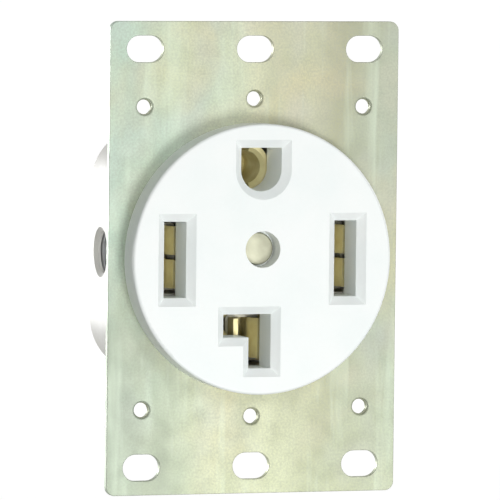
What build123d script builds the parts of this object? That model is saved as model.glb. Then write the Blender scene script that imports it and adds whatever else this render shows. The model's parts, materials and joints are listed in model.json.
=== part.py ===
from build123d import *
from math import atan2, cos, radians, tan
import os

# Four-wire 30 A dryer receptacle on a two-gang steel strap, in millimetres.
# X runs to the right as seen from the room, Y runs into the wall and Z runs up.
# The origin is the middle of the box-screw pattern, on the strap's rear face.

# Strap, a stamped steel plate with a round window.
strap_width = 60.6
strap_height = 94.4
strap_thickness = 1.27
strap_corner_radius = 1.8
strap_edge_roll = 0.2
window_diameter = 48.0

# Slots for the screws of a two-gang box, and of a one-gang box in the middle.
box_pitch_x = 46.02
box_pitch_z = 83.34
box_slot_length = 7.7
box_slot_width = 5.3

# Tapped holes for the wall plate's screws, each drawn out of the sheet as a short lip.
plate_pitch_x = 46.02
plate_pitch_z = 60.33
middle_plate_pitch_z = 63.5
tapped_diameter = 3.2
lip_wall = 0.65
lip_height = 0.7
lip_roll = 0.45

# Bonding tab, which reaches into the window and takes the ground contact's rivet.
tab_angle = 45
tab_width = 7.0
tab_reach = 14.4
bond_radius = 18.0
bond_shank = 3.0
bond_head_diameter = 5.2
bond_head_height = 1.0
bond_tail_diameter = 4.6
bond_tail_height = 0.8

# Face, a moulded disc with a spigot that fills the strap's window.
face_diameter = 53.98
face_height = 6.0
face_edge_radius = 0.6
front_wall = 3.0
spigot_depth = 3.5
spigot_wall = 1.8
tunnel_wall = 1.8
tunnel_depth = 1.2
face_rib = 1.4

# Blade slots as they are below their chamfers, measured from the face's centre.
slot_chamfer = 1.6
hot_offset = 17.86
hot_slot_width = 4.65
hot_slot_height = 15.2
ground_slot_width = 8.5
ground_slot_bottom = 13.5
ground_slot_top = 22.2
neutral_leg_width = 4.65
neutral_slot_top = -10.95
neutral_slot_bottom = -21.8
neutral_slot_left = -7.65

# Centre rivet, which clamps the face, the strap and the housing together.
rivet_z = 2.0
rivet_shank = 4.0
rivet_head_diameter = 6.5
rivet_head_height = 1.0
rivet_head_roll = 0.3
rivet_recess_diameter = 7.3
rivet_recess_depth = 4.4
rivet_boss_diameter = 11.0
rivet_seat = 14.0
rivet_tail_diameter = 6.2
rivet_tail_height = 1.3
rivet_tail_roll = 0.5
rivet_well_diameter = 12.0
washer_diameter = 9.0
washer_thickness = 0.8

# Housing, the moulded rear body with one well for each terminal and a core in each corner.
housing_width = 51.2
housing_height = 51.2
housing_corner_radius = 12.0
housing_draft = 1.5
housing_edge_radius = 2.0
rear_wall = 2.3
core_size = 9.0
core_corner_radius = 2.5
core_offset = 16.0
core_front = 6.0
collar_height = 1.0
collar_wall = 1.9
wire_entry_diameter = 8.6
wire_entry_funnel = 0.8

# Contacts, pressed from brass strip, with leaves that spread again at the mouth.
strip_thickness = 0.9
contact_front = 15.0
leaf_bend_radius = 1.1
leaf_root_gap = 6.0
leaf_pinch_gap = 1.7
leaf_mouth_gap = 4.1
leaf_shoulder_depth = 12.6
leaf_pinch_depth = 5.2
leaf_mouth_depth = 1.9
hot_leaf_width = 12.4
finger_slit = 1.0
neutral_leaf_width = 8.0
cross_leaf_width = 2.8
cross_leaf_root_gap = 4.0
sleeve_radius = 3.3
sleeve_slit = 1.6
sleeve_flare = 0.8
sleeve_mouth_depth = 4.2
ear_width = 6.0

# Steel springs that back the leaves up.
spring_thickness = 0.5
spring_width = 3.4
spring_corner_radius = 0.8

# Terminal lugs, with a stud that is staked through the contact.
lug_length = 11.0
lug_width = 12.0
lug_floor = 1.6
lug_roof = 3.0
lug_edge_radius = 0.6
wire_bore_diameter = 6.9
stud_diameter = 3.4
stud_head_diameter = 4.8
stud_head_height = 0.6

# Slotted set screws, drawn with the wire bore open.
screw_diameter = 6.35
screw_length = 8.5
screw_point_diameter = 3.8
screw_point_length = 1.2
screw_slot_width = 1.3
screw_slot_depth = 1.8

# Clearances.
spigot_clearance = 0.25
floor_clearance = 0.1
lug_clearance = 0.3
riser_clearance = 0.15
cross_leaf_clearance = 0.1
thread_clearance = 0.05
screw_access_clearance = 0.4
shank_clearance = 0.1
rivet_clearance = 0.05
tab_clearance = 0.4
spring_clearance = 0.05
screw_rest_clearance = 0.1

# Depths along Y that follow from these.
strap_front = -strap_thickness
face_front = strap_front - face_height
recess_floor = face_front + rivet_recess_depth
floor_front = spigot_depth + floor_clearance
contact_rear = contact_front + strip_thickness
bore_depth = contact_rear + lug_floor + wire_bore_diameter / 2
bore_rear = bore_depth + wire_bore_diameter / 2
lug_rear = bore_rear + lug_roof
housing_floor = lug_rear + lug_clearance
housing_rear = housing_floor + rear_wall
screw_tip = bore_rear + screw_rest_clearance
washer_rear = rivet_seat + washer_thickness

# Each terminal lies behind its own slot. It is given as X, Z and the way its wire comes in,
# as an angle seen from the room.
ground_z = (ground_slot_top + ground_slot_bottom) / 2
neutral_z = (neutral_slot_top + neutral_slot_bottom) / 2
terminals = {
    "x": (-hot_offset, 0, 180),
    "y": (hot_offset, 0, 0),
    "w": (0, neutral_z, -90),
    "g": (0, ground_z, 90),
}

# The ground contact's riser passes beside the ground tunnel, and all the contacts' bases are
# as wide as that makes it.
contact_across = 2 * (ground_slot_width / 2 + tunnel_wall + riser_clearance + strip_thickness)

# The cross leaves lie behind the middle of the L's level leg, or as far below it as the top of
# their well asks.
cross_leaf_half = cross_leaf_root_gap / 2 + strip_thickness
neutral_well_top = neutral_z + lug_length / 2 + lug_clearance
cross_leaf_z = min(
    neutral_slot_top - neutral_leg_width / 2,
    neutral_well_top - cross_leaf_clearance - cross_leaf_half,
)

# The bonding rivet's place, and the riser that brings the ground contact forward to it.
bond_x = bond_radius * cos(radians(tab_angle))
bond_z = bond_radius * cos(radians(90 - tab_angle))
riser_right = contact_across / 2
riser_left = riser_right - strip_thickness
riser_bottom = ground_z - lug_length / 2


def from_the_room(depth):
    """The plane at this depth, with X to the right, Z up and its normal towards the room."""
    return Plane(origin=(0, depth, 0), x_dir=(1, 0, 0), z_dir=(0, -1, 0))


def slab(outline, front, rear):
    """The solid of an outline between two depths."""
    return extrude(from_the_room(rear) * outline, rear - front)


def disc(diameter, front, rear, x=0, z=0):
    """A round solid along Y between two depths."""
    return slab(Pos(x, z) * Circle(diameter / 2), front, rear)


def turned(radius_and_depth, x=0, z=0):
    """The solid of a half profile, given as radius and depth, turned about an axis along Y."""
    return Pos(x, 0, z) * revolve(make_face(Polyline(radius_and_depth, close=True)), Axis.Y)


def edges_at(solid, depth, largest=1000):
    """The edges that lie wholly at one depth and are no longer than the largest."""
    return solid.edges().filter_by(
        lambda edge: edge.bounding_box().size.Y < 1e-5
        and abs(edge.center().Y - depth) < 1e-5
        and edge.length < largest
    )


def rims_at(solid, depth, diameter):
    """The round edges of one diameter at one depth."""
    return edges_at(solid, depth).filter_by(
        lambda edge: edge.geom_type == GeomType.CIRCLE
        and abs(edge.radius - diameter / 2) < 1e-5
    )


def placed(terminal):
    """The place in space of a terminal, whose own X points the way its wire leaves."""
    x, z, angle = terminals[terminal]
    return Pos(x, 0, z) * Rot(0, -angle, 0)


def placed_outline(terminal):
    """The same place for an outline as seen from the room."""
    x, z, angle = terminals[terminal]
    return Pos(x, z) * Rot(0, 0, angle)


def box_slot_places():
    """The six slots, in two rows of three."""
    return [
        (x * box_pitch_x / 2, z * box_pitch_z / 2) for z in (-1, 1) for x in (-1, 0, 1)
    ]


def tapped_places():
    """The four holes of a two-gang wall plate and the two of a one-gang plate."""
    corners = [
        (x * plate_pitch_x / 2, z * plate_pitch_z / 2) for z in (-1, 1) for x in (-1, 1)
    ]
    return corners + [(0, z * middle_plate_pitch_z / 2) for z in (-1, 1)]


def tab_outline(grow=0.0):
    """The bonding tab with its round end, run out past the window's rim."""
    half = tab_width / 2 + grow
    centre = tab_reach + tab_width / 2
    end = window_diameter / 2 + strap_thickness
    bar = Pos((centre + end) / 2, 0) * Rectangle(end - centre, 2 * half)
    return Rot(0, 0, tab_angle) * (bar + Pos(centre, 0) * Circle(half))


def make_strap():
    """Stamped plate with its window, box slots, bonding tab and drawn tapped holes."""
    outline = RectangleRounded(strap_width, strap_height, strap_corner_radius)
    outline -= Circle(window_diameter / 2)
    for x, z in box_slot_places():
        outline -= Pos(x, z) * SlotOverall(box_slot_length, box_slot_width)
    outline += tab_outline()
    outline -= Pos(bond_x, bond_z) * Circle(bond_shank / 2 + rivet_clearance)
    strap = slab(outline, strap_front, 0)
    strap = fillet(edges_at(strap, strap_front), strap_edge_roll)
    for x, z in tapped_places():
        strap += disc(tapped_diameter + 2 * lip_wall, strap_front, lip_height, x, z)
    for x, z in tapped_places():
        strap -= disc(tapped_diameter, strap_front, lip_height, x, z)
    return fillet(rims_at(strap, strap_front, tapped_diameter), lip_roll)


def hot_slot():
    """One straight slot."""
    return Rectangle(hot_slot_width, hot_slot_height)


def ground_slot():
    """Slot with a flat top and a half-round bottom, for a round or U-shaped pin."""
    radius = ground_slot_width / 2
    middle = ground_slot_bottom + radius
    square = Pos(0, (middle + ground_slot_top) / 2) * Rectangle(
        ground_slot_width, ground_slot_top - middle
    )
    return square + Pos(0, middle) * Circle(radius)


def neutral_slot():
    """L-shaped slot: an upright leg on the centreline and a level leg to its left."""
    side = neutral_leg_width / 2
    step = neutral_slot_top - neutral_leg_width
    corners = [
        (side, neutral_slot_top),
        (neutral_slot_left, neutral_slot_top),
        (neutral_slot_left, step),
        (-side, step),
        (-side, neutral_slot_bottom),
        (side, neutral_slot_bottom),
    ]
    return make_face(Polyline(corners, close=True))


def leaf_slots():
    """The three slots whose blades go between leaves, in their places."""
    hot = [Pos(side * hot_offset, 0) * hot_slot() for side in (-1, 1)]
    return hot + [neutral_slot()]


def blade_slots():
    """All four slots in their places."""
    return leaf_slots() + [ground_slot()]


def spigot_bore():
    """The inside of the spigot's wall."""
    return Circle(window_diameter / 2 - spigot_clearance - spigot_wall)


def face_hollow():
    """The space behind the face's front: all but the tunnels, the rivet boss and the ribs."""
    inside = spigot_bore()
    for slot in blade_slots():
        inside -= offset(slot, tunnel_wall)
    inside -= Pos(0, rivet_z) * Circle(rivet_boss_diameter / 2)
    inside -= Pos(0, rivet_z) * Rectangle(2 * hot_offset, face_rib)
    inside -= Pos(0, (ground_slot_bottom + neutral_slot_top) / 2) * Rectangle(
        face_rib, ground_slot_bottom - neutral_slot_top
    )
    for angle in (135, 225, 315):
        reach = window_diameter / 2
        inside -= Rot(0, 0, angle) * Pos(reach / 2, 0) * Rectangle(reach, face_rib)
    return inside


def make_face_cover():
    """Moulded disc with chamfered slots, walled tunnels, ribs and the rivet's recess.

    The tunnels of the hot and neutral slots end early, where the leaves' mouths stand.
    """
    cover = disc(face_diameter, face_front, strap_front)
    cover = fillet(edges_at(cover, face_front), face_edge_radius)
    cover += disc(window_diameter - 2 * spigot_clearance, strap_front, spigot_depth)
    cover -= slab(face_hollow(), face_front + front_wall, spigot_depth)
    for slot in blade_slots():
        cover -= slab(slot, face_front, spigot_depth)
    for slot in leaf_slots():
        pocket = offset(slot, tunnel_wall) & spigot_bore()
        cover -= slab(pocket, tunnel_depth, spigot_depth)
    cover = chamfer(edges_at(cover, face_front, 2 * face_diameter), slot_chamfer)
    cover -= disc(rivet_recess_diameter, face_front, recess_floor, z=rivet_z)
    cover -= disc(rivet_shank + 2 * shank_clearance, face_front, spigot_depth, z=rivet_z)
    cover -= slab(tab_outline(tab_clearance), strap_front, spigot_depth)
    head_room = bond_head_diameter + 2 * tab_clearance
    head_front = strap_front - bond_head_height - tab_clearance
    return cover - disc(head_room, head_front, strap_front, bond_x, bond_z)


def entry_cutter(terminal):
    """A wire's way in: a round hole through the wall, wider at its mouth."""
    x, z, angle = terminals[terminal]
    half = housing_width / 2 if angle in (0, 180) else housing_height / 2
    wall = half - bore_depth * tan(radians(housing_draft)) - abs(x + z)
    radius = wire_entry_diameter / 2
    funnel = radius + wire_entry_funnel
    profile = [
        (0, 0),
        (radius, 0),
        (radius, wall - wire_entry_funnel),
        (funnel, wall),
        (funnel, wall + wire_entry_funnel),
        (0, wall + wire_entry_funnel),
    ]
    along_x = Pos(0, bore_depth, 0) * Rot(0, 0, -90)
    return placed(terminal) * along_x * turned(profile)


def make_housing():
    """Drafted body with four stepped wells, side wire entries, screw holes and cored corners."""
    outline = RectangleRounded(housing_width, housing_height, housing_corner_radius)
    body = extrude(from_the_room(0) * outline, -housing_rear, taper=housing_draft)
    body = fillet(edges_at(body, housing_rear), housing_edge_radius)
    body -= disc(window_diameter, 0, floor_front)
    lug_room = Rectangle(lug_length + 2 * lug_clearance, lug_width + 2 * lug_clearance)
    contact_room = Rectangle(
        lug_length + 2 * lug_clearance, contact_across + 2 * lug_clearance
    )
    hole = screw_diameter + 2 * screw_access_clearance
    for terminal, (x, z, angle) in terminals.items():
        rear = housing_rear + collar_height
        body += disc(hole + 2 * collar_wall, housing_floor, rear, x, z)
        body -= slab(placed_outline(terminal) * contact_room, floor_front, contact_rear)
        body -= slab(placed_outline(terminal) * lug_room, contact_rear, housing_floor)
        body -= disc(hole, housing_floor, rear, x, z)
        body -= entry_cutter(terminal)
    core = RectangleRounded(core_size, core_size, core_corner_radius)
    for x, z in ((-1, -1), (-1, 1), (1, -1), (1, 1)):
        body -= slab(Pos(x * core_offset, z * core_offset) * core, core_front, housing_rear)
    body -= disc(rivet_shank + 2 * shank_clearance, 0, rivet_seat, z=rivet_z)
    return body - disc(rivet_well_diameter, rivet_seat, housing_rear, z=rivet_z)


def leaf_line(root_gap):
    """The middle line of a pair of leaves, from one mouth round the base to the other."""
    half = strip_thickness / 2
    side = [
        (leaf_mouth_gap / 2 + half, leaf_mouth_depth),
        (leaf_pinch_gap / 2 + half, leaf_pinch_depth),
        (root_gap / 2 + half, leaf_shoulder_depth),
        (root_gap / 2 + half, contact_front + half),
    ]
    return side + [(-x, depth) for x, depth in reversed(side)]


def leaf_pair(root_gap, width):
    """Two leaves and the strip between them, across Z, for a blade that lies in the YZ plane."""
    line = FilletPolyline(leaf_line(root_gap), radius=leaf_bend_radius)
    return extrude(trace(line, strip_thickness), width / 2, both=True)


def leaf_outside(root_gap, depth):
    """How far a leaf's outer face is from the middle of its pair, between pinch and shoulder."""
    rise = (root_gap - leaf_pinch_gap) / 2
    run = leaf_shoulder_depth - leaf_pinch_depth
    middle = (leaf_pinch_gap + strip_thickness) / 2 + rise * (depth - leaf_pinch_depth) / run
    return middle + strip_thickness / 2 / cos(atan2(rise, run))


def contact_base(terminal):
    """The flat base that seats on the well's step, with a hole for the lug's stud."""
    base = Rectangle(lug_length, contact_across)
    base -= Circle(stud_diameter / 2 + rivet_clearance)
    return slab(placed_outline(terminal) * base, contact_front, contact_rear)


def cut_for_stud(leaves, terminal):
    """Leaves with the stud's hole through the strip between them."""
    x, z, angle = terminals[terminal]
    hole = stud_diameter + 2 * rivet_clearance
    return leaves - disc(hole, contact_front, contact_rear, x, z)


def make_hot_contact(terminal):
    """Two leaves of two fingers each, for an upright blade."""
    x, z, angle = terminals[terminal]
    leaves = Pos(x, 0, z) * leaf_pair(leaf_root_gap, hot_leaf_width)
    slit_length = leaf_shoulder_depth - leaf_mouth_depth - strip_thickness
    leaves -= Pos(x, leaf_mouth_depth, z) * Box(
        leaf_root_gap + 4 * strip_thickness, 2 * slit_length, finger_slit
    )
    return cut_for_stud(leaves, terminal) + contact_base(terminal)


def make_neutral_contact():
    """A pair of leaves for the L's upright leg and a short pair for its level leg."""
    x, z, angle = terminals["w"]
    leaves = Pos(x, 0, z) * leaf_pair(leaf_root_gap, neutral_leaf_width)
    cross_x = -(contact_across - cross_leaf_width) / 2
    cross = leaf_pair(cross_leaf_root_gap, cross_leaf_width)
    leaves += Pos(cross_x, 0, cross_leaf_z) * Rot(0, 90, 0) * cross
    return cut_for_stud(leaves, "w") + contact_base("w")


def make_ground_contact():
    """A flared sleeve in two fingers, and an ear that comes forward to the strap's tab."""
    outer = sleeve_radius + strip_thickness
    flare_rear = sleeve_mouth_depth + sleeve_flare
    profile = [
        (sleeve_radius, contact_front),
        (outer, contact_front),
        (outer, flare_rear),
        (outer + sleeve_flare, sleeve_mouth_depth),
        (sleeve_radius + sleeve_flare, sleeve_mouth_depth),
        (sleeve_radius, flare_rear),
    ]
    sleeve = turned(profile, z=ground_z)
    slit_length = leaf_shoulder_depth - sleeve_mouth_depth
    sleeve -= Pos(0, sleeve_mouth_depth, ground_z) * Box(
        sleeve_slit, 2 * slit_length, 4 * outer
    )
    riser_middle = (riser_left + riser_right) / 2
    riser = Pos(riser_middle, riser_bottom + ear_width / 2) * Rectangle(
        strip_thickness, ear_width
    )
    tip = Pos(bond_x, bond_z) * Circle(ear_width / 2)
    ear = make_hull(riser.edges() + tip.edges())
    ear -= Pos(bond_x, bond_z) * Circle(bond_shank / 2 + rivet_clearance)
    contact = contact_base("g") + sleeve
    contact += slab(riser, 0, contact_front)
    return contact + slab(ear, 0, strip_thickness)


def make_spring_band(terminal, leaf_width):
    """A closed spring band that sits on the slope of a pair of leaves."""
    x, z, angle = terminals[terminal]
    front = leaf_pinch_depth + strip_thickness / 2
    rear = front + spring_width
    inside_x = 2 * (leaf_outside(leaf_root_gap, rear) + spring_clearance)
    inside_z = leaf_width + 2 * spring_clearance
    band = RectangleRounded(
        inside_x + 2 * spring_thickness, inside_z + 2 * spring_thickness, spring_corner_radius
    )
    inner_radius = spring_corner_radius - spring_thickness
    band -= RectangleRounded(inside_x, inside_z, inner_radius)
    return slab(Pos(x, z) * band, front, rear)


def make_spring_collar():
    """A split spring ring around the ground contact's sleeve."""
    inner = sleeve_radius + strip_thickness + spring_clearance
    ring = Circle(inner + spring_thickness) - Circle(inner)
    ring -= Pos(0, -inner) * Rectangle(sleeve_slit, 4 * spring_thickness)
    front = leaf_pinch_depth + strip_thickness / 2
    return slab(Pos(0, ground_z) * ring, front, front + spring_width)


def make_lug(terminal):
    """Bored block with a staked stud in front and a tapped hole behind."""
    block = slab(Rectangle(lug_length, lug_width), contact_rear, lug_rear)
    block = fillet(block.edges().filter_by(Axis.Y), lug_edge_radius)
    head_front = contact_front - stud_head_height
    stud = disc(stud_diameter, contact_front, contact_rear)
    stud += disc(stud_head_diameter, head_front, contact_front)
    bore = Pos(0, bore_depth, 0) * Rot(0, 90, 0) * Cylinder(
        wire_bore_diameter / 2, lug_length
    )
    tapped = disc(screw_diameter + 2 * thread_clearance, bore_depth, lug_rear)
    return placed(terminal) * (block + stud - bore - tapped)


def make_set_screw(terminal):
    """Slotted set screw with a blunt cone point."""
    radius = screw_diameter / 2
    rear = screw_tip + screw_length
    profile = [
        (0, screw_tip),
        (screw_point_diameter / 2, screw_tip),
        (radius, screw_tip + screw_point_length),
        (radius, rear),
        (0, rear),
    ]
    slot = Pos(0, rear, 0) * Box(2 * screw_diameter, 2 * screw_slot_depth, screw_slot_width)
    return placed(terminal) * (turned(profile) - slot)


def make_centre_rivet():
    """Pan head in the face's recess, shank, and a clinched tail behind the washer."""
    head_front = recess_floor - rivet_head_height
    head = disc(rivet_head_diameter, head_front, recess_floor, z=rivet_z)
    head = fillet(edges_at(head, head_front), rivet_head_roll)
    tail_rear = washer_rear + rivet_tail_height
    tail = disc(rivet_tail_diameter, washer_rear, tail_rear, z=rivet_z)
    tail = fillet(edges_at(tail, tail_rear), rivet_tail_roll)
    return head + disc(rivet_shank, recess_floor, washer_rear, z=rivet_z) + tail


def make_rivet_washer():
    """Flat washer at the bottom of the housing's rivet well."""
    ring = Circle(washer_diameter / 2) - Circle(rivet_shank / 2 + rivet_clearance)
    return slab(Pos(0, rivet_z) * ring, rivet_seat, washer_rear)


def make_bond_rivet():
    """Rivet through the strap's tab and the ground contact's ear."""
    head = disc(bond_head_diameter, strap_front - bond_head_height, strap_front)
    tail = disc(bond_tail_diameter, strip_thickness, strip_thickness + bond_tail_height)
    shank = disc(bond_shank, strap_front, strip_thickness)
    return Pos(bond_x, 0, bond_z) * (head + shank + tail)


def make_parts():
    """Every sub-part by name."""
    parts = {
        "mounting_strap": make_strap(),
        "face_cover": make_face_cover(),
        "rear_housing": make_housing(),
        "centre_rivet": make_centre_rivet(),
        "rivet_washer": make_rivet_washer(),
        "ground_bond_rivet": make_bond_rivet(),
        "hot_contact_x": make_hot_contact("x"),
        "hot_contact_y": make_hot_contact("y"),
        "neutral_contact": make_neutral_contact(),
        "ground_contact": make_ground_contact(),
        "contact_spring_x": make_spring_band("x", hot_leaf_width),
        "contact_spring_y": make_spring_band("y", hot_leaf_width),
        "contact_spring_neutral": make_spring_band("w", neutral_leaf_width),
        "ground_spring_collar": make_spring_collar(),
    }
    for terminal in terminals:
        parts["terminal_lug_" + terminal] = make_lug(terminal)
        parts["clamp_screw_" + terminal] = make_set_screw(terminal)
    return parts


os.makedirs("parts", exist_ok=True)
for name, solid in make_parts().items():
    export_step(solid, "parts/" + name + ".step")
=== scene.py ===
# %% [markdown]
# A dryer receptacle: a white moulded face with blade slots, on a plated steel strap, with an
# off-white housing behind the wall line. The solids come ready made, at their real size, as a frame.
# This lesson sets up the camera and the light, gives each solid its finish, and makes the threads
# that the solids leave plain. All lengths are in metres, X runs to the right as seen from the
# room, Y runs into the wall and Z runs up.

# %% Load the frame
import json
import math

import bmesh
import bpy
from mathutils import Matrix, Vector


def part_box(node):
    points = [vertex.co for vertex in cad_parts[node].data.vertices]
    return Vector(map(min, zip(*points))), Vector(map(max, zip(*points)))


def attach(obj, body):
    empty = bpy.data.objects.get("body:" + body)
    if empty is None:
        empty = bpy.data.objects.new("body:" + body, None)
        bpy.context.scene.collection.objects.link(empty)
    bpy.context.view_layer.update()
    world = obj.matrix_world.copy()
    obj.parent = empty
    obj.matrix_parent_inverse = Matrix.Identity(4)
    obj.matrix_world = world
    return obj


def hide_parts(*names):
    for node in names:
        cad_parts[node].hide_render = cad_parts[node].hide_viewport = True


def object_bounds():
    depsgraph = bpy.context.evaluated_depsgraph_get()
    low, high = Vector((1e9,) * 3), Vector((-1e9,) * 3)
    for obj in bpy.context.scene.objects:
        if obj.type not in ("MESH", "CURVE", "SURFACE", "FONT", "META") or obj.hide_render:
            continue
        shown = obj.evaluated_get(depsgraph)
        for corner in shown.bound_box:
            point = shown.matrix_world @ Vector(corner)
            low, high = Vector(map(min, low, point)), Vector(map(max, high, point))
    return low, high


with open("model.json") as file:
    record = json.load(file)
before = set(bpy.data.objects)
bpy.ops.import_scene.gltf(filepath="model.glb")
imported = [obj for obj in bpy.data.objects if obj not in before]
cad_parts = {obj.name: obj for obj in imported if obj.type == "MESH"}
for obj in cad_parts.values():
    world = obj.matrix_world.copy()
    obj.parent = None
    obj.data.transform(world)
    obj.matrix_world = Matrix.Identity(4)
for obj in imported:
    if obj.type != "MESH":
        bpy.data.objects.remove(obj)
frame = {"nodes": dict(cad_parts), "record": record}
cad_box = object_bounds()
nodes = frame["nodes"]
mm = 0.001


# %% [markdown]
# Node trees are easier to read when each node takes one line. The helpers below write a colour as
# it looks on screen, and add a node with its settings and its inputs, which may be numbers,
# colours or the outputs of other nodes.

# %% Helpers for node trees
def srgb(red, green, blue):
    """The linear colour, with alpha, of a screen colour given from 0 to 255."""
    linear = []
    for level in (red, green, blue):
        share = level / 255
        low = share <= 0.04045
        linear.append(share / 12.92 if low else ((share + 0.055) / 1.055) ** 2.4)
    return (*linear, 1.0)


def feed(tree, socket, value):
    """Links an output to a socket, or sets the socket to a plain value."""
    if isinstance(value, bpy.types.NodeSocket):
        tree.links.new(value, socket)
    else:
        socket.default_value = value


def add(tree, kind, inputs=(), **settings):
    """A new node of this kind, with its settings and its inputs by name or place."""
    node = tree.nodes.new(kind)
    for name, value in settings.items():
        setattr(node, name, value)
    for name, value in dict(inputs).items():
        feed(tree, node.inputs[name], value)
    return node


print("mid grey is", round(srgb(128, 128, 128)[0], 3), "in linear light")


# %% [markdown]
# Nearly all the finishes here come from a few steps: arithmetic, mixing two colours, spreading a
# value over a new range, and soft noise at the object's own points. Each step gives its output
# back, so the steps can be nested. The noise is set in features per metre, because the object's
# points are in metres.

# %% Helpers for values and textures
def sums(tree, operation, *values, clamp=False):
    """One step of arithmetic on up to three values."""
    node = add(tree, "ShaderNodeMath", enumerate(values), operation=operation, use_clamp=clamp)
    return node.outputs[0]


mix_first_colour = 6
mix_second_colour = 7
mix_colour_result = 2


def blend_colours(tree, factor, first, second):
    """Two colours mixed by a factor.

    A Mix node keeps a pair of inputs with the same names for each kind of data, so the pair of
    colours is picked by place.
    """
    node = add(tree, "ShaderNodeMix", {"Factor": factor}, data_type="RGBA")
    feed(tree, node.inputs[mix_first_colour], first)
    feed(tree, node.inputs[mix_second_colour], second)
    return node.outputs[mix_colour_result]


def stretch(tree, value, low, high, new_low=0.0, new_high=1.0):
    """A value between low and high, spread over a new range and held inside it."""
    places = ("Value", "From Min", "From Max", "To Min", "To Max")
    inputs = dict(zip(places, (value, low, high, new_low, new_high)))
    return add(tree, "ShaderNodeMapRange", inputs, clamp=True).outputs[0]


def noise(tree, where, scale, detail=2.0, roughness=0.5, distortion=0.0):
    """Soft noise at this many features per metre."""
    inputs = {
        "Vector": where,
        "Scale": scale,
        "Detail": detail,
        "Roughness": roughness,
        "Distortion": distortion,
    }
    return add(tree, "ShaderNodeTexNoise", inputs).outputs["Fac"]


def own_place(tree, scale=(1, 1, 1)):
    """The point on the object in its own metres, stretched along the axes if asked."""
    place = add(tree, "ShaderNodeTexCoord").outputs["Object"]
    if scale == (1, 1, 1):
        return place
    return add(tree, "ShaderNodeMapping", {"Vector": place, "Scale": scale}).outputs[0]


print("noise at 500 per metre has features of", round(1 / 500 / mm, 1), "mm")


# %% [markdown]
# The photograph looks at the face from the left and a little from above, with a long lens: the
# strap's sides are nearly parallel. The camera goes round the strap's middle on an arc, so its
# place is three angles and a distance, and the lens follows from how many picture widths away
# it stands. No shift is needed.

# %% Camera
camera_azimuth = math.radians(-18.66)
camera_elevation = math.radians(3.54)
camera_roll = math.radians(0.64)
camera_distance = 1328 * mm
focal_over_frame = 13.296
aim = Vector((-0.29 * mm, 0, 1.475 * mm))

camera_data = bpy.data.cameras.new("camera")
camera_data.sensor_width = 36
camera_data.lens = camera_data.sensor_width * focal_over_frame
camera = bpy.data.objects.new("camera", camera_data)
bpy.context.scene.collection.objects.link(camera)
level = math.cos(camera_elevation)
back = Vector((
    math.sin(camera_azimuth) * level,
    -math.cos(camera_azimuth) * level,
    math.sin(camera_elevation),
))
turn = back.to_track_quat("Z", "Y").to_matrix().to_4x4()
camera.matrix_world = (
    Matrix.Translation(aim + back * camera_distance) @ turn @ Matrix.Rotation(camera_roll, 4, "Z")
)
bpy.context.scene.camera = camera
bpy.context.scene.view_settings.view_transform = "Standard"
print("camera lens", round(camera_data.lens), "mm")


# %% [markdown]
# The background is white. A ray that comes from the camera, or off a shiny surface, sees a white
# world, and a ray that lights a matt surface sees a dimmer one, so white paint keeps its shape.

# %% World
ambient_level = 0.25
white = (1, 1, 1, 1)


def seen_directly(tree):
    """1 for rays from the camera, off a shiny surface or through glass, and 0 for the rest."""
    path = add(tree, "ShaderNodeLightPath")
    shiny = sums(tree, "MAXIMUM", path.outputs["Is Camera Ray"], path.outputs["Is Glossy Ray"])
    return sums(tree, "MAXIMUM", shiny, path.outputs["Is Transmission Ray"])


world = bpy.data.worlds.new("studio")
bpy.context.scene.world = world
world.use_nodes = True
tree = world.node_tree
tree.nodes.clear()
strength = stretch(tree, seen_directly(tree), 0, 1, ambient_level, 1.0)
sky = add(tree, "ShaderNodeBackground", {"Color": white, "Strength": strength})
add(tree, "ShaderNodeOutputWorld", {"Surface": sky.outputs[0]})
print("matt surfaces see the world at", ambient_level)


# %% [markdown]
# The floor does the same with its own shade on top, which keeps the soft shadow, and far from
# the lamps it glows up to white by itself. The main lamp stands lower than the floor, so the
# floor lets its light through. To the object's matt surfaces the floor looks like the dim world,
# so that a lamp's pool of light on it does not shine back.

# %% Floor
floor_gap = 22 * mm
floor_half = 12.0
floor_glow_near = 0.77
floor_glow_far = 0.93
glow_rise_start = 0.15
glow_rise_end = 1.3
floor_tone = (0.42, 0.42, 0.42, 1)

floor_z = cad_box[0][2] - floor_gap
mesh = bpy.data.meshes.new("floor")
corners = [(-1, -1), (1, -1), (1, 1), (-1, 1)]
mesh.from_pydata([(x * floor_half, y * floor_half, floor_z) for x, y in corners], [], [(0, 1, 2, 3)])
floor = bpy.data.objects.new("floor", mesh)
bpy.context.scene.collection.objects.link(floor)

paper = bpy.data.materials.new("floor_paper")
paper.use_nodes = True
tree = paper.node_tree
tree.nodes.clear()
spot = add(tree, "ShaderNodeTexCoord").outputs["Object"]
away = add(tree, "ShaderNodeVectorMath", {0: spot}, operation="LENGTH").outputs["Value"]
lift = stretch(tree, away, glow_rise_start, glow_rise_end, floor_glow_near, floor_glow_far)
glow = add(tree, "ShaderNodeEmission", {"Color": white, "Strength": lift}).outputs[0]
matt = add(tree, "ShaderNodeBsdfDiffuse", {"Color": floor_tone}).outputs[0]
lit = add(tree, "ShaderNodeAddShader", {0: glow, 1: matt}).outputs[0]
dim = add(tree, "ShaderNodeEmission", {"Color": white, "Strength": ambient_level}).outputs[0]
seen = add(tree, "ShaderNodeMixShader", {0: seen_directly(tree), 1: dim, 2: lit}).outputs[0]
to_lamp = add(tree, "ShaderNodeLightPath").outputs["Is Shadow Ray"]
clear = add(tree, "ShaderNodeBsdfTransparent").outputs[0]
paper_mix = add(tree, "ShaderNodeMixShader", {0: to_lamp, 1: seen, 2: clear})
add(tree, "ShaderNodeOutputMaterial", {"Surface": paper_mix.outputs[0]})
mesh.materials.append(paper)
print("floor at", round(floor_z, 4))


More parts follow.
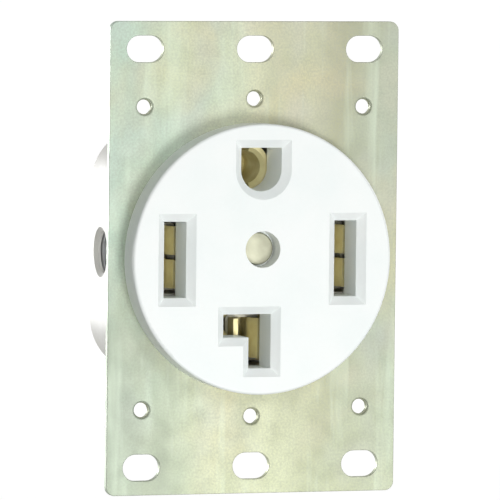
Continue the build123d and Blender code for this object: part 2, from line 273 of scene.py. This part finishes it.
# %% [markdown]
# The photograph's shade tells where its light was. A soft shade runs over the top of the disc and
# widens down its left side, the walls that face up are grey, and those that face down are white.
# So the main lamp is in front, a little to the right and well below, and it is as broad as the
# shade's edge is soft. A weaker one beside the camera reaches into the slots, and one from high
# on the right lifts the shade above the disc but not the one at its left. The last two light the
# back and the sides, for views from there. The left one stands so far behind the strap that the
# strap keeps its light off the disc's dark left side.

# %% Lamps
lamps = {
    "main_lamp": ((0.1, -0.57, -0.2), 0.19, 1.5, (1.0, 1.0, 1.0)),
    "slot_lamp": ((-0.42, -1.15, -0.05), 0.15, 3.1, (1.0, 0.98, 0.94)),
    "high_lamp": ((0.3, -1.0, 0.44), 0.3, 2.3, (1.0, 1.0, 1.0)),
    "left_lamp": ((-0.48, 0.93, 0.05), 0.35, 6.6, (1.0, 1.0, 1.0)),
    "rear_lamp": ((0.8, 0.5, 0.35), 0.5, 2.8, (1.0, 1.0, 1.0)),
}
for name, (place, size, power, tint) in lamps.items():
    data = bpy.data.lights.new(name, "AREA")
    data.size = size
    data.energy = power
    data.color = tint
    lamp = bpy.data.objects.new(name, data)
    lamp.location = place
    lamp.rotation_euler = Vector(place).to_track_quat("Z", "Y").to_euler()
    bpy.context.scene.collection.objects.link(lamp)
print("lamps", len(lamps))


# %% [markdown]
# Several finishes share three effects, so each is a node group with its own knobs. Edge wear
# compares the true normal with one that is rounded over a small width: they differ only near an
# edge. Grain is a fine noise that comes out both as a mask and as a height for a bump. Streaks
# are noise drawn out along one axis, like the marks of rolling or wiping.

# %% Shared effects
def new_group(name, inputs, outputs):
    """An empty node group with number inputs and the outputs asked for."""
    group = bpy.data.node_groups.new(name, "ShaderNodeTree")
    for label, value in inputs.items():
        socket = group.interface.new_socket(label, in_out="INPUT", socket_type="NodeSocketFloat")
        socket.default_value = value
    for label in outputs:
        group.interface.new_socket(label, in_out="OUTPUT", socket_type="NodeSocketFloat")
    start = group.nodes.new("NodeGroupInput")
    end = group.nodes.new("NodeGroupOutput")
    return group, start.outputs, end.inputs


def make_edge_wear():
    """Mask that is 1 on worn edges and 0 on open faces."""
    group, given, result = new_group("edge_wear", {"Width": 0.2 * mm, "Breakup": 600.0}, ["Mask"])
    round_normal = add(group, "ShaderNodeBevel", {"Radius": given["Width"]}, samples=4)
    true_normal = add(group, "ShaderNodeNewGeometry").outputs["Normal"]
    both = {0: round_normal.outputs[0], 1: true_normal}
    alike = add(group, "ShaderNodeVectorMath", both, operation="DOT_PRODUCT").outputs["Value"]
    edge = stretch(group, alike, 0.995, 0.88)
    patches = noise(group, own_place(group), given["Breakup"], detail=3)
    feed(group, result["Mask"], sums(group, "MULTIPLY", edge, stretch(group, patches, 0.3, 0.6)))
    return group


def make_grain():
    """Fine even noise as a mask and as a height."""
    group, given, result = new_group("grain", {"Scale": 900.0, "Detail": 3.0}, ["Mask", "Height"])
    fine = noise(group, own_place(group), given["Scale"], detail=given["Detail"], roughness=0.6)
    feed(group, result["Mask"], stretch(group, fine, 0.35, 0.65))
    feed(group, result["Height"], fine)
    return group


def make_streaks():
    """Noise drawn out along Z, as a mask."""
    group, given, result = new_group("streaks", {"Scale": 500.0, "Draw": 0.12}, ["Mask"])
    along = add(group, "ShaderNodeCombineXYZ", {0: 1.0, 1: 1.0, 2: given["Draw"]}).outputs[0]
    place = add(group, "ShaderNodeVectorMath", {0: own_place(group), 1: along}, operation="MULTIPLY")
    feed(group, result["Mask"], noise(group, place.outputs[0], given["Scale"], 3, 0.55, 0.3))
    return group


groups = {"edge_wear": make_edge_wear(), "grain": make_grain(), "streaks": make_streaks()}
print("shared effects", sorted(groups))


# %% [markdown]
# Every material starts in the same way: one Principled shader, whose plain values are set on its
# own sockets, and an output. The effects are then placed in it as group nodes, and heights turn
# into normals, one on top of the other, in Bump nodes.

# %% Helpers for materials
def use(tree, name, **knobs):
    """A shared effect placed in a material, with its own values."""
    node = tree.nodes.new("ShaderNodeGroup")
    node.node_tree = groups[name]
    for label, value in knobs.items():
        feed(tree, node.inputs[label], value)
    return node.outputs


def new_material(name, **plain):
    """A material with one Principled shader. Plain values go straight on its sockets."""
    material = bpy.data.materials.new(name)
    material.use_nodes = True
    tree = material.node_tree
    tree.nodes.clear()
    shader = tree.nodes.new("ShaderNodeBsdfPrincipled")
    add(tree, "ShaderNodeOutputMaterial", {"Surface": shader.outputs[0]})
    for label, value in plain.items():
        shader.inputs[label.replace("_", " ")].default_value = value
    return material, tree, shader.inputs


def bump(tree, height, distance, strength=1.0, under=None):
    """A normal from a height, on top of an earlier one if there is one."""
    inputs = {"Height": height, "Distance": distance, "Strength": strength}
    if under is not None:
        inputs["Normal"] = under
    return add(tree, "ShaderNodeBump", inputs).outputs[0]


print("material helpers ready")


# %% [markdown]
# The strap is steel with a thin chromate film over zinc. The film's thickness drifts across the sheet,
# and its colour with it: mint at the left, straw in the middle and khaki at the right. A colour ramp
# over a left-to-right drift, bent by wide noise, does the same as a picture would, and stays sharp at
# any distance. Rose, lilac and gold clouds lie over it. Each is a soft noise that shows only above its
# middle level. Painted light then makes the strap paler towards its bottom, as a lamp from below
# would.

# %% Colour of the chromate film
film_half_width = 31 * mm
film_wander = 0.22
film_stops = [
    (0.0, (168, 187, 171)),
    (0.2, (175, 189, 167)),
    (0.5, (190, 192, 162)),
    (0.78, (158, 159, 132)),
    (1.0, (164, 173, 153)),
]
film_clouds = {
    "rose": dict(colour=(196, 184, 164), most=0.3, full=0.72, drawn=(1, 1, 1), scale=75, detail=3),
    "lilac": dict(colour=(174, 174, 180), most=0.4, full=0.7, drawn=(1.3, 1, 0.8), scale=55),
    "gold": dict(
        colour=(192, 182, 134), most=0.38, full=0.66, drawn=(1, 1, 0.8), scale=48,
        detail=3, roughness=0.55, distortion=0.4,
    ),
}
cloud_start = 0.5
# Painted light: the strap's colour is made paler towards its bottom, as if lit more strongly from
# below.
painted_light_bottom = -48 * mm
painted_light_top = -18 * mm
painted_light_share = 0.35


def film_drift(tree, x):
    """The share of the way across the ramp, which wanders as it goes from left to right."""
    share = stretch(tree, x, -film_half_width, film_half_width)
    wide = noise(tree, own_place(tree, (1, 1, 0.45)), 42, roughness=0.45, distortion=0.6)
    wander = stretch(tree, wide, 0.25, 0.75, -film_wander, film_wander)
    return sums(tree, "ADD", share, wander, clamp=True)


def film_ramp(tree, share):
    """The film's main colour, read off its stops."""
    ramp = add(tree, "ShaderNodeValToRGB", {"Fac": share})
    elements = ramp.color_ramp.elements
    while len(elements) < len(film_stops):
        elements.new(0.5)
    for element, (position, colour) in zip(elements, film_stops):
        element.position = position
        element.color = srgb(*colour)
    return ramp.outputs[0]


def film_cloud(tree, tint, colour, most, full, drawn, **texture):
    """A tint with clouds of one more colour, which start at the noise's middle level."""
    soft = noise(tree, own_place(tree, drawn), **texture)
    share = stretch(tree, soft, cloud_start, full, 0, most)
    return blend_colours(tree, share, tint, srgb(*colour))


def film_tint(tree, place):
    """The film's colour with its clouds, and painted light that makes it paler towards the bottom."""
    tint = film_ramp(tree, film_drift(tree, place["X"]))
    for cloud in film_clouds.values():
        tint = film_cloud(tree, tint, **cloud)
    # Painted light from below: paler towards the bottom of the strap.
    painted_light = stretch(tree, place["Z"], painted_light_bottom, painted_light_top, painted_light_share, 0)
    return blend_colours(tree, painted_light, tint, srgb(202, 214, 176))


print("film stops", len(film_stops), "clouds", sorted(film_clouds))


# %% [markdown]
# At the lower left the strap carries painted reflections: long slanted patches, tan in some places and
# pale in others, stand in for the dark and light streaks that reflections lay on the metal. One
# drawn-out noise gives both, its low end the tan patches and its high end the pale ones. Two ramps,
# one for each direction, keep them in their corner.

# %% Painted reflections at the lower left
# Slant, noise levels and corner of the painted reflections.
painted_reflection_slant = math.radians(10)
painted_reflection_middle = 0.56
painted_reflection_dark_end = 0.34
painted_reflection_pale_end = 0.7
painted_reflection_left = (-8 * mm, -22 * mm)
painted_reflection_low = (2 * mm, -14 * mm)


def painted_reflections(tree, tint, place):
    """A tint with the painted reflections over it, as tan and pale slanted patches."""
    slanted = {"Vector": own_place(tree), "Rotation": (0, painted_reflection_slant, 0), "Scale": (1, 1, 0.22)}
    drawn = add(tree, "ShaderNodeMapping", slanted).outputs[0]
    reflection_noise = noise(tree, drawn, 105, distortion=0.7)
    left = stretch(tree, place["X"], *painted_reflection_left)
    low = stretch(tree, place["Z"], *painted_reflection_low)
    inside = sums(tree, "MULTIPLY", left, low)
    # Painted reflections: tan where the noise is low, pale where it is high, only in the lower left
    # corner.
    dark_reflection = stretch(tree, reflection_noise, painted_reflection_middle, painted_reflection_dark_end, 0.5, 0.95)
    dark_reflection = sums(tree, "MULTIPLY", inside, dark_reflection)
    tint = blend_colours(tree, dark_reflection, tint, srgb(146, 156, 138))
    pale_reflection = stretch(tree, reflection_noise, painted_reflection_middle, painted_reflection_pale_end, 0, 0.3)
    pale_reflection = sums(tree, "MULTIPLY", inside, pale_reflection)
    return blend_colours(tree, pale_reflection, tint, srgb(212, 226, 212))


# The slant of the painted reflections.
print("wiped patches slant by", round(math.degrees(painted_reflection_slant)), "degrees")


# %% [markdown]
# Over the film's colour lie the fine grey mottle of the dip, faint pale streaks from rolling the
# sheet, and bright metal where the film has rubbed off the edges. The film is part clear and
# part chalky, so the shader is only half metallic. The bump has two layers as well: tiny pits,
# and the slow waves of a stamped sheet.

# %% Chromated steel
def chromated_steel():
    """The strap's finish: film with painted light and painted reflections, mottle, streaks and worn
    edges over pits and slow waves.
    """
    material, tree, sockets = new_material("chromated_steel", Metallic=0.5)
    place = add(tree, "ShaderNodeSeparateXYZ", {"Vector": own_place(tree)}).outputs
    tint = painted_reflections(tree, film_tint(tree, place), place)
    mottle = use(tree, "grain", Scale=2300.0, Detail=2.0)
    tint = blend_colours(tree, stretch(tree, mottle["Mask"], 0, 1, 0, 0.42), tint, srgb(146, 150, 140))
    streaks = use(tree, "streaks", Scale=330.0, Draw=0.1)["Mask"]
    tint = blend_colours(tree, stretch(tree, streaks, 0.52, 0.75, 0, 0.3), tint, srgb(206, 220, 200))
    wear = use(tree, "edge_wear", Width=0.25 * mm, Breakup=700.0)["Mask"]
    tint = blend_colours(tree, sums(tree, "MULTIPLY", wear, 0.5), tint, srgb(214, 216, 210))
    feed(tree, sockets["Base Color"], tint)
    rough = stretch(tree, noise(tree, own_place(tree), 260, detail=3), 0.35, 0.65, 0.44, 0.56)
    feed(tree, sockets["Roughness"], rough)
    pits = bump(tree, mottle["Height"], 0.03 * mm, 0.5)
    waves = noise(tree, own_place(tree), 60, detail=1)
    feed(tree, sockets["Normal"], bump(tree, waves, 0.25 * mm, 0.5, pits))
    return material


finishes = {"chromated_steel": chromated_steel()}
print("chromated steel made")


# %% [markdown]
# The face is a glossy thermoset, white with a hint of blue. A perfectly even white looks like
# paper, so the shine varies a little, the surface has a slight moulding ripple, and a trace of
# grey gathers in the finest grain.

# %% White moulding
def white_moulding():
    """The face's finish: bluish white with soft clouds, a slight ripple and fine grain."""
    material, tree, sockets = new_material("white_moulding", IOR=1.5)
    fine = use(tree, "grain", Scale=1100.0, Detail=2.0)
    cloud = stretch(tree, noise(tree, own_place(tree), 90), 0.35, 0.65)
    tint = blend_colours(tree, cloud, srgb(244, 250, 249), srgb(248, 252, 251))
    tint = blend_colours(tree, stretch(tree, fine["Mask"], 0, 1, 0, 0.04), tint, srgb(222, 226, 220))
    feed(tree, sockets["Base Color"], tint)
    feed(tree, sockets["Roughness"], stretch(tree, cloud, 0, 1, 0.32, 0.42))
    ripple = bump(tree, noise(tree, own_place(tree), 140, detail=1), 0.05 * mm, 0.25)
    feed(tree, sockets["Normal"], bump(tree, fine["Height"], 0.01 * mm, 0.35, ripple))
    return material


finishes["white_moulding"] = white_moulding()
print("white moulding made")


# %% [markdown]
# The housing is moulded from the same family of plastic as the face, but nobody polishes what
# goes into a wall: it is a creamier white with a satin skin and a deeper grain. A trace of grey
# lies in the grain, and the edges are rubbed pale.

# %% Body moulding
def body_moulding():
    """The housing's finish: creamy white, satin, with grey in the grain and pale edges."""
    material, tree, sockets = new_material("body_moulding", IOR=1.5)
    fine = use(tree, "grain", Scale=1600.0, Detail=3.0)
    cloud = stretch(tree, noise(tree, own_place(tree), 70, detail=3), 0.3, 0.7)
    tint = blend_colours(tree, cloud, srgb(243, 243, 238), srgb(236, 235, 228))
    tint = blend_colours(tree, stretch(tree, fine["Mask"], 0, 1, 0, 0.08), tint, srgb(206, 205, 198))
    rubbed = use(tree, "edge_wear", Width=0.35 * mm, Breakup=900.0)["Mask"]
    tint = blend_colours(tree, sums(tree, "MULTIPLY", rubbed, 0.5), tint, srgb(246, 246, 242))
    feed(tree, sockets["Base Color"], tint)
    feed(tree, sockets["Roughness"], stretch(tree, cloud, 0, 1, 0.42, 0.58))
    ripple = bump(tree, noise(tree, own_place(tree), 120, detail=1), 0.08 * mm, 0.4)
    feed(tree, sockets["Normal"], bump(tree, fine["Height"], 0.02 * mm, 0.6, ripple))
    return material


finishes["body_moulding"] = body_moulding()
print("body moulding made")


# %% [markdown]
# The other metals differ in tone, polish and grain, but are made alike: a main tone, a second
# tone in soft clouds, bright edges, and a bump of fine grain. One function makes them all from
# those few choices. The brass, the springs and the lugs are dulled by handling and stand deep in
# the body, so part of their look is plain matt colour, and they are less than fully metallic.

# %% Metals
metal_choices = {
    "rivet_steel": dict(main=(178, 178, 158), cloud=(168, 168, 150), shine=(0.5, 0.62), grain=1500.0),
    "zinc_steel": dict(main=(184, 187, 188), cloud=(160, 163, 168), shine=(0.32, 0.5), grain=1200.0),
    "contact_brass": dict(
        main=(240, 232, 184), cloud=(226, 214, 160), shine=(0.4, 0.55), grain=900.0, metallic=0.55
    ),
    "spring_steel": dict(
        main=(196, 194, 180), cloud=(170, 168, 156), shine=(0.3, 0.45), grain=1000.0, metallic=0.6
    ),
    "lug_tin": dict(
        main=(224, 226, 228), cloud=(204, 206, 208), shine=(0.34, 0.52), grain=1300.0, metallic=0.7
    ),
    "screw_steel": dict(main=(192, 192, 184), cloud=(168, 166, 150), shine=(0.28, 0.45), grain=1400.0),
    "green_screw": dict(main=(70, 138, 84), cloud=(52, 112, 70), shine=(0.3, 0.46), grain=1400.0),
}
edge_lift = 0.45
edge_share = 0.6


def metal(name, main, cloud, shine, grain, metallic=1.0):
    """A metal with clouds of a second tone. Shine is its least and greatest roughness."""
    material, tree, sockets = new_material(name, Metallic=metallic)
    fine = use(tree, "grain", Scale=grain, Detail=3.0)
    clouds = stretch(tree, noise(tree, own_place(tree), 320, detail=3), 0.35, 0.68)
    tint = blend_colours(tree, clouds, srgb(*main), srgb(*cloud))
    wear = use(tree, "edge_wear", Width=0.15 * mm, Breakup=1200.0)["Mask"]
    bright = srgb(*[level + (255 - level) * edge_lift for level in main])
    tint = blend_colours(tree, sums(tree, "MULTIPLY", wear, edge_share), tint, bright)
    feed(tree, sockets["Base Color"], tint)
    feed(tree, sockets["Roughness"], stretch(tree, clouds, 0, 1, *shine))
    feed(tree, sockets["Normal"], bump(tree, fine["Height"], 0.02 * mm, 0.5))
    return material


for name, choice in metal_choices.items():
    finishes[name] = metal(name, **choice)
print("finishes", sorted(finishes))


# %% [markdown]
# Each solid names the finish that it takes, so dressing them is one loop. The solids' meshes
# stay as they came: only their material slots are filled.

# %% Dress the solids
finish_of = {part["node"]: part["material_slot"] for part in frame["record"]["subparts"]}


def dress(piece, finish):
    """Gives a piece its finish as its only material."""
    piece.data.materials.clear()
    piece.data.materials.append(finishes[finish])


for node, piece in nodes.items():
    dress(piece, finish_of[node])
print("dressed", len(nodes), "solids")


# %% [markdown]
# The set screws come as plain slotted cylinders. A real thread catches light on every turn, so
# each one is made again here: a tube of points whose radius rises and falls with height, a
# little later at each angle, is a screw thread. The pitch is that of a 1/4-28 screw, and it is
# right-handed. The crest is flat for a short way, then the flank falls to a flat root.

# %% Screw thread
inch = 25.4 * mm
thread_pitch = inch / 28
thread_depth = 0.5 * mm
crest_height = 1.25
flank_slope = 3.2
rings_per_turn = 10
points_round = 48
point_length = 1.2 * mm
point_radius = 1.9 * mm
rim_bevel = 0.4 * mm
rim_slope = 0.8


def thread_height(share):
    """How far up the thread's flank a point lies, from the root at 0 to the crest at 1."""
    return min(1.0, max(0.0, crest_height - abs(share % 1.0 - 0.5) * flank_slope))


def mesh_from_rings(name, made, rings):
    """The closed mesh of a row of rings, each with as many points as the next."""
    count = len(rings[0])
    for lower, upper in zip(rings, rings[1:]):
        for place in range(count):
            after = (place + 1) % count
            made.faces.new((lower[place], upper[place], upper[after], lower[after]))
    made.faces.new(rings[0])
    made.faces.new(list(reversed(rings[-1])))
    bmesh.ops.recalc_face_normals(made, faces=made.faces)
    mesh = bpy.data.meshes.new(name)
    made.to_mesh(mesh)
    made.free()
    return mesh


def threaded_rod(radius, low, high):
    """A closed rod along Y with a helical thread, a blunt point at low and a flat end at high."""
    made = bmesh.new()
    steps = round((high - low) / thread_pitch * rings_per_turn)
    rings = []
    for step in range(steps + 1):
        y = low + (high - low) * step / steps
        reach = radius
        if y - low < point_length:
            reach = point_radius + (radius - point_radius) * (y - low) / point_length
        reach = min(reach, radius - max(0.0, y - high + rim_bevel) * rim_slope)
        ring = []
        for place in range(points_round):
            turned = place / points_round
            thread = radius - thread_depth * (1 - thread_height((y - low) / thread_pitch + turned))
            angle = 2 * math.pi * turned
            away = min(thread, reach)
            ring.append(made.verts.new((away * math.cos(angle), y, away * math.sin(angle))))
        rings.append(ring)
    return mesh_from_rings("threaded_rod", made, rings)


print("thread pitch", round(thread_pitch / mm, 3), "mm")


# %% [markdown]
# Each rod gets its driver slot by a boolean, which is applied at once, so that no modifier is
# left. The slots of the upper and lower screws run up and down, and those of the left and right
# ones run across. Each new screw stands for its plain one and rides on the same body.

# %% Set screws
slot_width = 1.3 * mm
slot_depth = 1.8 * mm


def block(name, size, middle):
    """A plain box used only as a cutter."""
    made = bmesh.new()
    bmesh.ops.create_cube(made, size=1.0, matrix=Matrix.Diagonal((*size, 1.0)))
    mesh = bpy.data.meshes.new(name)
    made.to_mesh(mesh)
    made.free()
    cutter = bpy.data.objects.new(name, mesh)
    cutter.location = middle
    bpy.context.scene.collection.objects.link(cutter)
    return cutter


def cut(piece, cutter):
    """Takes the cutter out of the piece for good, and removes the cutter."""
    step = piece.modifiers.new("cut", "BOOLEAN")
    step.operation = "DIFFERENCE"
    step.solver = "EXACT"
    step.object = cutter
    graph = bpy.context.evaluated_depsgraph_get()
    mesh = bpy.data.meshes.new_from_object(piece.evaluated_get(graph))
    piece.modifiers.clear()
    piece.data = mesh
    bpy.data.objects.remove(cutter)


def slot_size(terminal, radius):
    """The size of the cutter, which is longer than the screw is wide and half out of its end."""
    long_side = 4 * radius
    if terminal in "wg":
        return (slot_width, 2 * slot_depth, long_side)
    return (long_side, 2 * slot_depth, slot_width)


for terminal in "xywg":
    node = "clamp_screw_" + terminal
    low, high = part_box(node)
    middle = (Vector(low) + Vector(high)) / 2
    radius = (high[0] - low[0]) / 2
    screw = bpy.data.objects.new("set_screw_" + terminal, threaded_rod(radius, low[1], high[1]))
    screw.location = (middle.x, 0, middle.z)
    bpy.context.scene.collection.objects.link(screw)
    cut(screw, block("slot_cutter", slot_size(terminal, radius), (middle.x, high[1], middle.z)))
    dress(screw, finish_of[node])
    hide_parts(node)
    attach(screw, "screw_" + terminal)
    print(screw.name, "faces", len(screw.data.polygons))


# %% [markdown]
# The six small holes in the strap are tapped for the wall plate's screws, and the solids leave
# their bores plain. A tap leaves a ridge that winds round the wall. Here it is a four-cornered
# ring that climbs as it turns, with its foot sunk in the metal and both ends run out to nothing.
# The holes' places and their radius come from the mounts that the record states.

# %% Threads in the tapped holes
tap_pitch = inch / 32
tap_sunk = 0.12 * mm
tap_rise = 0.17 * mm
tap_foot_half = 0.34 * mm
tap_crest_half = 0.05 * mm
tap_low = -0.88 * mm
tap_high = 0.34 * mm
tap_run_out = 0.35
tap_least = 0.1
mount_dims = {mount["name"]: mount["dims"] for mount in frame["record"]["mounts"]}
outer_holes = mount_dims["plate_screws_two_gang"]
middle_holes = mount_dims["plate_screws_one_gang"]
tap_foot_radius = outer_holes["hole_r_mm"] * mm + tap_sunk
tap_crest_radius = outer_holes["hole_r_mm"] * mm - tap_rise


def tapped_places():
    """The middle of each tapped hole, by its name."""
    half_x = outer_holes["spacing_x_mm"] / 2 * mm
    half_z = outer_holes["spacing_y_mm"] / 2 * mm
    middle_z = middle_holes["spacing_y_mm"] / 2 * mm
    places = {}
    for row, up in (("upper", 1), ("lower", -1)):
        places[row + "_left"] = (-half_x, up * half_z)
        places[row + "_middle"] = (0, up * middle_z)
        places[row + "_right"] = (half_x, up * half_z)
    return places


def tap_ridge():
    """The ridge of a right-handed inside thread along Y."""
    made = bmesh.new()
    turns = (tap_high - tap_low) / tap_pitch
    steps = round(turns * points_round)
    rings = []
    for step in range(steps + 1):
        done = turns * step / steps
        angle = 2 * math.pi * done
        full = max(tap_least, min(1.0, done / tap_run_out, (turns - done) / tap_run_out))
        crest = tap_foot_radius + (tap_crest_radius - tap_foot_radius) * full
        section = (
            (tap_foot_radius, -tap_foot_half * full),
            (crest, -tap_crest_half),
            (crest, tap_crest_half),
            (tap_foot_radius, tap_foot_half * full),
        )
        ring = []
        for away, up in section:
            y = tap_low + tap_pitch * done + up
            ring.append(made.verts.new((away * math.sin(angle), y, away * math.cos(angle))))
        rings.append(ring)
    return mesh_from_rings("tap_ridge", made, rings)


for name, (x, z) in tapped_places().items():
    ridge = bpy.data.objects.new("plate_thread_" + name, tap_ridge())
    ridge.location = (x, 0, z)
    bpy.context.scene.collection.objects.link(ridge)
    dress(ridge, "chromated_steel")
    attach(ridge, "root")
print("tapped holes", len(tapped_places()), "faces each", len(ridge.data.polygons))
